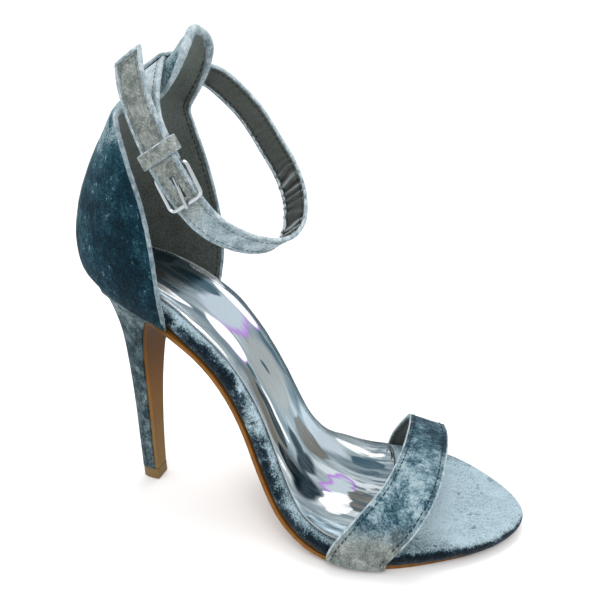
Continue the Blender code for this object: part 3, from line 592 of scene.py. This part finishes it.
# the stretches of a closed line for which keep(place, normal, into) holds
def stretches(line, keep):
    place, normal, into = line
    count = len(place)
    held = [bool(keep(Vector(place[i]), Vector(normal[i]), Vector(into[i]))) for i in range(count)]
    if all(held):
        return [(list(range(count)), True)]
    start = held.index(False)
    found = []
    run = []
    for step in range(1, count + 1):
        i = (start + step) % count
        if held[i]:
            run.append(i)
        elif run:
            found.append((run, False))
            run = []
    if run:
        found.append((run, False))
    return [item for item in found if len(item[0]) > 4]


# fine hairs: slender closed spikes, three sides each
fuzzLook = {"perRing": 10, "length": 0.75 * mm, "shortest": 0.4, "size": 0.035 * mm, "out": 0.8, "stray": 0.6}


def fuzzOn(name, roots, finish):
    vertices = []
    faces = []
    for spot, way, reach in roots:
        side = way.orthogonal().normalized()
        other = way.cross(side)
        base = len(vertices)
        for turn in range(3):
            angle = turn * 2 * math.pi / 3
            vertices.append(spot + (side * math.cos(angle) + other * math.sin(angle)) * fuzzLook["size"])
        vertices.append(spot + way * reach)
        faces += [(base, base + 2, base + 1), (base, base + 1, base + 3),
                  (base + 1, base + 2, base + 3), (base + 2, base, base + 3)]
    newPiece(name, vertices, faces, finish, rounded=False)
# soft velvet roll along an edge, a little uneven as folded cloth is, with its loose pile standing off
rollLook = {"sink": 0.45, "over": 0.42, "uneven": ((260, 0.10), (900, 0.07)),
            "taper": 4, "blunt": 0.05, "rootAt": 0.92}


def rollAlong(name, line, wall, size, keep, finish, sides=10, plump=lambda place: 1.0, fuzz=0.0):
    place, normal, into = line
    vertices = []
    faces = []
    roots = []
    dice = random.Random(name)
    for run, closed in stretches(line, keep):
        base = len(vertices)
        for order, i in enumerate(run):
            n = Vector(normal[i])
            b = Vector(into[i])
            thick = size * plump(Vector(place[i]))
            centre = Vector(place[i]) - n * wall / 2 + b * thick * rollLook["sink"]
            swell = 1.0
            for scale, amount in rollLook["uneven"]:
                swell += amount * noise.noise(centre * scale)
            if not closed:
                ends = min(order, len(run) - 1 - order) / rollLook["taper"]
                swell *= math.sqrt(min(1.0, ends + rollLook["blunt"]))

            def spot(turn, share):
                across = n * math.cos(turn) * (wall / 2 + thick * rollLook["over"]) + b * math.sin(turn) * thick
                return centre + across * swell * share

            for side in range(sides):
                vertices.append(spot(2 * math.pi * side / sides, 1.0))
            ahead = Vector(place[(i + 1) % len(place)]) - Vector(place[i])
            for hair in range(int(fuzzLook["perRing"] * fuzz)):
                turn = dice.uniform(0, 2 * math.pi)
                root = spot(turn, rollLook["rootAt"]) + ahead * dice.uniform(0, 1)
                way = (spot(turn, 1.0) - centre).normalized() * fuzzLook["out"]
                stray = Vector((dice.uniform(-1, 1), dice.uniform(-1, 1), dice.uniform(-1, 1)))
                way += stray * fuzzLook["stray"]
                length = fuzzLook["length"] * dice.uniform(fuzzLook["shortest"], 1.0)
                roots.append((root, way.normalized(), length))
        count = len(run)
        for order in range(count if closed else count - 1):
            following = (order + 1) % count
            for side in range(sides):
                beside = (side + 1) % sides
                faces.append((base + order * sides + side, base + order * sides + beside,
                              base + following * sides + beside, base + following * sides + side))
        if not closed:
            faces.append(tuple(base + side for side in range(sides)))
            faces.append(tuple(base + (count - 1) * sides + side for side in range(sides)))
    newPiece(name, vertices, faces, finish)
    if roots:
        fuzzOn(name + "Fuzz", roots, finish)


# rows of lock stitches laid on a surface: each a small rounded bar with six sides, sunk a little
barLook = {"gap": 0.15, "rings": (0.0, 0.25, 0.5, 0.75, 1.0), "probe": 0.0002, "blunt": (0.06, 0.94),
           "arch": 0.9, "sink": 0.35, "thin": 0.55, "thicker": 0.45}


def stitchRow(name, surface, line, inset, look, keep, finish):
    tree = BVHTree.FromObject(surface, bpy.context.evaluated_depsgraph_get())
    place, normal, into = line
    rings = barLook["rings"]
    sides = 6
    vertices = []
    faces = []
    marks = []
    for run, closed in stretches(line, keep):
        path = []
        for i in run:
            near = tree.find_nearest(Vector(place[i]) + Vector(into[i]) * inset)
            if near[0]:
                facing = near[1] if near[1].dot(Vector(normal[i])) > 0 else -near[1]
                path.append((near[0], facing))
        walked = [0.0]
        for before, after in zip(path, path[1:]):
            walked.append(walked[-1] + (after[0] - before[0]).length)

        def at(distance):
            i = within(int(np.searchsorted(walked, distance)) - 1, 0, len(path) - 2)
            t = within((distance - walked[i]) / max(walked[i + 1] - walked[i], 1e-9))
            return path[i][0].lerp(path[i + 1][0], t), path[i][1].lerp(path[i + 1][1], t).normalized()

        reach = walked[-1]
        for order in range(int(reach / look["pitch"])):
            low = (order + barLook["gap"]) * look["pitch"]
            high = low + look["length"]
            if high > reach:
                break
            start = len(vertices)
            for share in rings:
                along = low + (high - low) * share
                spot, out = at(along)
                ahead = at(min(along + barLook["probe"], reach))[0] - at(max(along - barLook["probe"], 0))[0]
                side = out.cross(ahead).normalized()
                arch = math.sin(math.pi * within(share, *barLook["blunt"]))
                centre = spot + out * look["thick"] * (arch * barLook["arch"] - barLook["sink"])
                size = look["thick"] * (barLook["thin"] + barLook["thicker"] * arch)
                for turn in range(sides):
                    angle = turn * math.pi / 3
                    vertices.append(centre + side * math.cos(angle) * size + out * math.sin(angle) * size)
            for ring in range(len(rings) - 1):
                for turn in range(sides):
                    here = start + ring * sides + turn
                    beside = start + ring * sides + (turn + 1) % sides
                    faces.append((here, beside, beside + sides, here + sides))
            faces.append(tuple(start + turn for turn in range(sides)))
            faces.append(tuple(start + (len(rings) - 1) * sides + turn for turn in range(sides)))
            marks.append(at((low + high) / 2)[0])
    newPiece(name, vertices, faces, finish)
    return marks


# soft furrow that the thread pulls into the cloth
def furrow(made, marks, depth, width):
    tree = treeOf(marks)
    push(made, lambda place, normal: -depth * math.exp(-(tree.find(place)[2] / width) ** 2))


# broad dents of handled cloth, with finer ones under half their size
def crushed(place, size):
    return noise.noise(place * 95) * size + noise.noise(place * 310 + Vector((3, 1, 2))) * size * 0.45


# the counter with its back tab
# furrow: depth, width; seam: the lower edge, by how steeply its wall runs up and its height
counterLook = {"levels": 2, "middle": (0.040, 0.0, 0.130), "spacing": 0.9 * mm, "crush": 0.16 * mm,
               "wall": 1.6 * mm, "roll": 0.68 * mm, "fuzz": 1.8, "seam": (0.5, 0.112),
               "stitchIn": 2.4 * mm, "stitch": {"pitch": 2.6 * mm, "length": 1.9 * mm, "thick": 0.22 * mm},
               "furrow": (0.16 * mm, 0.7 * mm),
               # the roll is plumpest round the top of the tab: extra, start height, rise
               "tabRoll": 1.6, "tabFrom": 0.178, "tabRise": 0.016,
               # the velvet turns over the tab's top onto the lining side, wider on the outer half
               "turnOver": 4.2 * mm, "turnFrom": 0.183, "turnRise": 0.012, "turnOuter": 1.15, "turnInner": 0.45}


# which places of an edge are free: all but the seam
def freeOf(look):
    steep, height = look["seam"]
    return lambda place, normal, into: not (into.z > steep and place.z < height)


def makeCounter(look):
    made = fineCopy("counter", look["levels"], Vector(look["middle"]))
    push(made, lambda place, normal: crushed(place, look["crush"]))
    free = freeOf(look)

    def plump(place):
        return 1.0 + look["tabRoll"] * within((place.z - look["tabFrom"]) / look["tabRise"])

    outside = edgeLines(made, outsideKind, look["spacing"])[0]
    inside = edgeLines(made, insideKind, look["spacing"])[0]
    marks = stitchRow("counterStitches", made, inside, look["stitchIn"], look["stitch"], free,
                      threadDark)
    furrow(made, marks, *look["furrow"])
    rollAlong("counterRoll", outside, look["wall"], look["roll"], free, velvetEdging,
              plump=plump, fuzz=look["fuzz"])
    tree = treeOf(inside[0])
    for face in made.data.polygons:
        if face.material_index == insideKind:
            share = within((face.center.z - look["turnFrom"]) / look["turnRise"])
            side = look["turnOuter"] if face.center.y < 0 else look["turnInner"]
            if tree.find(face.center)[2] < look["turnOver"] * share * side:
                face.material_index = turnedKind
    dress(made, "counter", [velvetTeal, liningGrey, velvetPiping, velvetPiping])
    return made


counter = makeCounter(counterLook)
print("stage: counter", len(counter.data.polygons))


# the toe strap, wrapped under the footbed's edge
toeLook = {"levels": 2, "middle": (0.120, 0.0, -0.020), "spacing": 0.9 * mm, "crush": 0.14 * mm,
           "wall": 1.6 * mm, "roll": 0.42 * mm, "fuzz": 0.7, "seam": (0.45, 0.012),
           "stitchIn": 2.0 * mm, "stitch": {"pitch": 2.5 * mm, "length": 1.8 * mm, "thick": 0.22 * mm},
           "furrow": (0.20 * mm, 0.65 * mm)}


def makeToeStrap(look):
    made = fineCopy("toe_strap", look["levels"], Vector(look["middle"]))
    push(made, lambda place, normal: crushed(place, look["crush"]))
    free = freeOf(look)
    for kind, label in ((outsideKind, "Outside"), (insideKind, "Inside")):
        line = edgeLines(made, kind, look["spacing"])[0]
        marks = stitchRow("toeStitches" + label, made, line, look["stitchIn"], look["stitch"], free,
                          threadDark)
        furrow(made, marks, *look["furrow"])
        if kind == outsideKind:
            rollAlong("toeRoll", line, look["wall"], look["roll"], free, velvetPiping,
                      fuzz=look["fuzz"])
    dress(made, "toe_strap", [velvetStrap, liningGrey, velvetPiping])
    return made


toeStrap = makeToeStrap(toeLook)
print("stage: toe strap", len(toeStrap.data.polygons))


# the ankle strap
ankleLook = {"levels": 3, "middle": (0.045, -0.004, 0.155), "spacing": 0.8 * mm, "crush": 0.08 * mm,
             "wall": 1.4 * mm, "roll": 0.72 * mm, "fuzz": 0.6,
             "stitchIn": 1.8 * mm, "stitch": {"pitch": 2.3 * mm, "length": 1.7 * mm, "thick": 0.18 * mm},
             "furrow": (0.16 * mm, 0.6 * mm),
             # the lining wrinkles across the strap where it bends hardest, at the front of the loop
             "wrinkle": 0.85 * mm, "wrinkles": 58, "stray": 4.5, "least": 0.22, "even": 0.75,
             "bend": (0.0733, 0.0125, 0.1297), "bendReach": 22 * mm, "down": (0.489, 0.0, -0.872)}


def makeAnkleStrap(look):
    middle = Vector(look["middle"])
    made = fineCopy("ankle_strap", look["levels"], middle)
    bend = Vector(look["bend"])
    down = Vector(look["down"])
    crests = []

    def wrinkled(place, normal):
        wave = 0.0
        if normal.dot(place - middle) < 0:
            near = max(math.exp(-((place - bend).length / look["bendReach"]) ** 2), look["least"])
            angle = math.atan2(place.y - middle.y, (place - middle).dot(down))
            wave = near * math.sin(angle * look["wrinkles"] + noise.noise(place * 120) * look["stray"])
            wave *= look["even"] + noise.noise(place * 95 + Vector((5, 2, 8)))
        crests.append(wave)
        return crushed(place, look["crush"]) + look["wrinkle"] * wave

    push(made, wrinkled)
    made.data.attributes.new("crest", "FLOAT", "POINT").data.foreach_set("value", crests)
    for kind, label, strand in ((outsideKind, "Outside", threadPale), (insideKind, "Inside", threadDark)):
        line = edgeLines(made, kind, look["spacing"])[0]
        marks = stitchRow("ankleStitches" + label, made, line, look["stitchIn"], look["stitch"], everywhere,
                          strand)
        furrow(made, marks, *look["furrow"])
        if kind == outsideKind:
            rollAlong("ankleRoll", line, look["wall"], look["roll"], everywhere, velvetPiping,
                      fuzz=look["fuzz"])
    dress(made, "ankle_strap", [velvetAnkle, liningCreased, velvetPiping])
    return made


ankleStrap = makeAnkleStrap(ankleLook)
print("stage: ankle strap", len(ankleStrap.data.polygons))


# the loop on the back tab and the keeper of the strap
bandLook = {"levels": 3, "spacing": 0.6 * mm, "wall": 1.0 * mm, "sides": 8,
            "loopCrush": 0.06 * mm, "loopRoll": 0.35 * mm, "loopInward": (0.006, 0, -0.012),
            "keeperCrush": 0.05 * mm, "keeperRoll": 0.30 * mm}


def makeSmallBand(look, node, middle, finish, crush, roll):
    made = fineCopy(node, look["levels"], middle)
    push(made, lambda place, normal: crushed(place, crush))
    for order, line in enumerate(edgeLines(made, outsideKind, look["spacing"])[:2]):
        rollAlong(node + "Roll" + str(order), line, look["wall"], roll, everywhere, velvetPiping,
                  look["sides"])
    dress(made, node, [finish, liningGrey, velvetPiping])


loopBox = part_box("back_loop")
makeSmallBand(bandLook, "back_loop", (loopBox[0] + loopBox[1]) / 2 + Vector(bandLook["loopInward"]),
              velvetAnkle, bandLook["loopCrush"], bandLook["loopRoll"])
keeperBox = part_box("strap_keeper")
makeSmallBand(bandLook, "strap_keeper", (keeperBox[0] + keeperBox[1]) / 2,
              velvetTaupe, bandLook["keeperCrush"], bandLook["keeperRoll"])
print("stage: back loop and keeper")


# the footbed: velvet drawn over board, with gathers on its side where the arch turns
footbedLook = {"levels": 2, "fold": 100.0, "crush": 0.10 * mm, "sideways": 0.25, "ragged": 1.2,
               # the ridge beside a gather: share of its depth, how many widths off
               "ridge": 0.5, "ridgeOff": 1.8,
               # gathers: place along x, height z, width, depth, side (1 inner, -1 outer, 0 both)
               "gathers": [(0.036, 0.085, 1.6, 0.30, 0), (0.047, 0.070, 1.4, 0.35, -1),
                           (0.055, 0.052, 1.8, 0.40, 0), (0.062, 0.036, 1.5, 0.45, -1),
                           (0.069, 0.024, 1.7, 0.40, 0), (0.079, 0.013, 1.6, 0.40, 1),
                           (0.090, 0.007, 1.9, 0.35, 0), (0.128, 0.004, 2.0, 0.25, -1),
                           (0.146, 0.004, 2.2, 0.22, 0)]}


def makeFootbed(look):
    made = fineCopy("footbed", look["levels"], fold=look["fold"])

    def lift(place, normal):
        amount = crushed(place, look["crush"])
        sideways = abs(normal.y)
        if sideways > look["sideways"]:
            for x, z, width, depth, side in look["gathers"]:
                if side == 0 or side * place.y > 0:
                    away = math.hypot(place.x - x, place.z - z) / mm + noise.noise(place * 200) * look["ragged"]
                    off = away - width * look["ridgeOff"]
                    amount -= depth * mm * sideways * math.exp(-(away / width) ** 2)
                    amount += depth * mm * look["ridge"] * sideways * math.exp(-(off / width) ** 2)
        return amount

    push(made, lift)
    dress(made, "footbed", [velvetSteel])
    return made


footbed = makeFootbed(footbedLook)
print("stage: footbed", len(footbed.data.polygons))


# the film sock: soft waves, a fine turned edge and pale thread just inside it
# waves: how fine along and across the foot, which cut of the noise, how much
sockLook = {"levels": 3, "middle": (0.06, 0.0, -0.5), "fold": 40.0, "middleBand": 5 * mm, "spacing": 1.0 * mm,
            "wave": 0.20 * mm, "lift": 0.6, "waves": ((34, 110, 1.0, 1.0), (90, 150, 4.0, 0.5)),
            "wall": 0.7 * mm, "edge": 0.20 * mm, "sides": 6,
            "stitchIn": 1.0 * mm, "stitch": {"pitch": 1.5 * mm, "length": 1.1 * mm, "thick": 0.07 * mm}}


def makeSock(look):
    made = fineCopy("insole_sock", look["levels"], Vector(look["middle"]), look["fold"])
    # distance along the foot for each place, from the upper face's own middle line
    faces = {vertex: face.material_index for face in made.data.polygons for vertex in face.vertices}
    heights = {}
    for vertex in made.data.vertices:
        if faces[vertex.index] == outsideKind and abs(vertex.co.y) < look["middleBand"]:
            heights.setdefault(round(vertex.co.x / mm), []).append(vertex.co.z)
    xs = [step * mm for step in sorted(heights)]
    zs = [sum(heights[step]) / len(heights[step]) for step in sorted(heights)]
    runs = np.concatenate([[0], np.cumsum(np.hypot(np.diff(xs), np.diff(zs)))])
    place = made.data.attributes.new("footPlace", "FLOAT_VECTOR", "POINT")
    values = []
    for vertex in made.data.vertices:
        values.extend((float(np.interp(vertex.co.x, xs, runs)), vertex.co.y, 0.0))
    place.data.foreach_set("vector", values)
    normals = [vertex.normal.copy() for vertex in made.data.vertices]
    for vertex, normal in zip(made.data.vertices, normals):
        if faces[vertex.index] == outsideKind:
            u, v = values[vertex.index * 3], values[vertex.index * 3 + 1]
            wave = 0.0
            for along, across, cut, amount in look["waves"]:
                wave += amount * noise.noise(Vector((u * along, v * across, cut)))
            vertex.co += normal * look["wave"] * (look["lift"] + wave)
    made.data.update()
    edge = edgeLines(made, outsideKind, look["spacing"])[0]
    stitchRow("sockStitches", made, edge, look["stitchIn"], look["stitch"], everywhere, threadSilver)
    rollAlong("sockEdge", edge, look["wall"], look["edge"], everywhere, edgeSilver, look["sides"])
    dress(made, "insole_sock", [filmSilver, liningGrey, filmSilver])
    return made


sock = makeSock(sockLook)
print("stage: sock", len(sock.data.polygons))


# the covered heel; the sole, the hard tip and the buckle keep their CAD shapes
heelLook = {"levels": 3, "fold": 40.0, "crush": 0.06 * mm}


def makeHeel(look):
    made = fineCopy("heel", look["levels"], None, look["fold"])
    push(made, lambda place, normal: crushed(place, look["crush"]))
    dress(made, "heel", [velvetGrey])


makeHeel(heelLook)
for label, finish in (("outsole", soleTan), ("top_lift", tipTan),
                      ("buckle_frame", buckleMetal), ("buckle_prong", buckleMetal)):
    nodes[label].data.materials[0] = finish
print("stage: heel and finishes")


# floor, light and camera
studioLook = {"reach": 4, "floor": ((0.93, 0.93, 0.93), (0.95, 0.95, 0.95)), "surround": 1.12,
              "lampAim": (0.07, 0, 0.09),
              # name, place, size, power
              "lamps": (("key", (0.35, -0.75, 0.95), 0.7, 5.0), ("top", (0.1, 0.3, 1.2), 0.6, 4.0))}


def makeStudio(look):
    ground = Finish("paleFloor", Roughness=0.9, Specular_IOR_Level=0.1)
    grain = ground.noise(14.0, 3.0, 0.5)
    ground.feed("Base Color", ground.blend(grain, *look["floor"]))
    reach = look["reach"]
    mesh = bpy.data.meshes.new("floor")
    mesh.from_pydata([(-reach, -reach, 0), (reach, -reach, 0), (reach, reach, 0), (-reach, reach, 0)],
                     [], [(0, 1, 2, 3)])
    mesh.materials.append(ground.material)
    floor = bpy.data.objects.new("floor", mesh)
    bpy.context.scene.collection.objects.link(floor)
    world = bpy.data.worlds.new("studio")
    bpy.context.scene.world = world
    world.use_nodes = True
    world.node_tree.nodes["Background"].inputs["Color"].default_value = (1.0, 1.0, 1.0, 1.0)
    world.node_tree.nodes["Background"].inputs["Strength"].default_value = look["surround"]
    for name, place, size, power in look["lamps"]:
        light = bpy.data.lights.new(name, "AREA")
        light.size = size
        light.energy = power
        lamp = bpy.data.objects.new(name, light)
        bpy.context.scene.collection.objects.link(lamp)
        lamp.location = place
        lamp.rotation_euler = (Vector(look["lampAim"]) - Vector(place)).to_track_quat("-Z", "Y").to_euler()


# eye and aim in mm, roll in degrees, focal length in pixels of a picture this wide
cameraLook = {"eye": (138.8, -218.9, 166.6), "aim": (77.1, 0.8, 94.8), "roll": -1.405,
              "focal": 576.12, "width": 600, "sensor": 36, "clipStart": 0.01}


def makeCamera(look):
    eye = Vector(look["eye"]) * mm
    aim = Vector(look["aim"]) * mm
    roll = math.radians(look["roll"])
    ahead = (aim - eye).normalized()
    right = ahead.cross(Vector((0, 0, 1))).normalized()
    up = right.cross(ahead)
    rightRolled = right * math.cos(roll) + up * math.sin(roll)
    upRolled = up * math.cos(roll) - right * math.sin(roll)
    lens = bpy.data.cameras.new("photoCamera")
    lens.sensor_width = look["sensor"]
    lens.lens = look["focal"] * look["sensor"] / look["width"]
    lens.clip_start = look["clipStart"]
    camera = bpy.data.objects.new("photoCamera", lens)
    bpy.context.scene.collection.objects.link(camera)
    turned = Matrix((rightRolled, upRolled, -ahead)).transposed().to_4x4()
    turned.translation = eye
    camera.matrix_world = turned
    bpy.context.scene.camera = camera


makeStudio(studioLook)
makeCamera(cameraLook)
bpy.context.scene.view_settings.view_transform = "Standard"
print("stage: studio and camera")
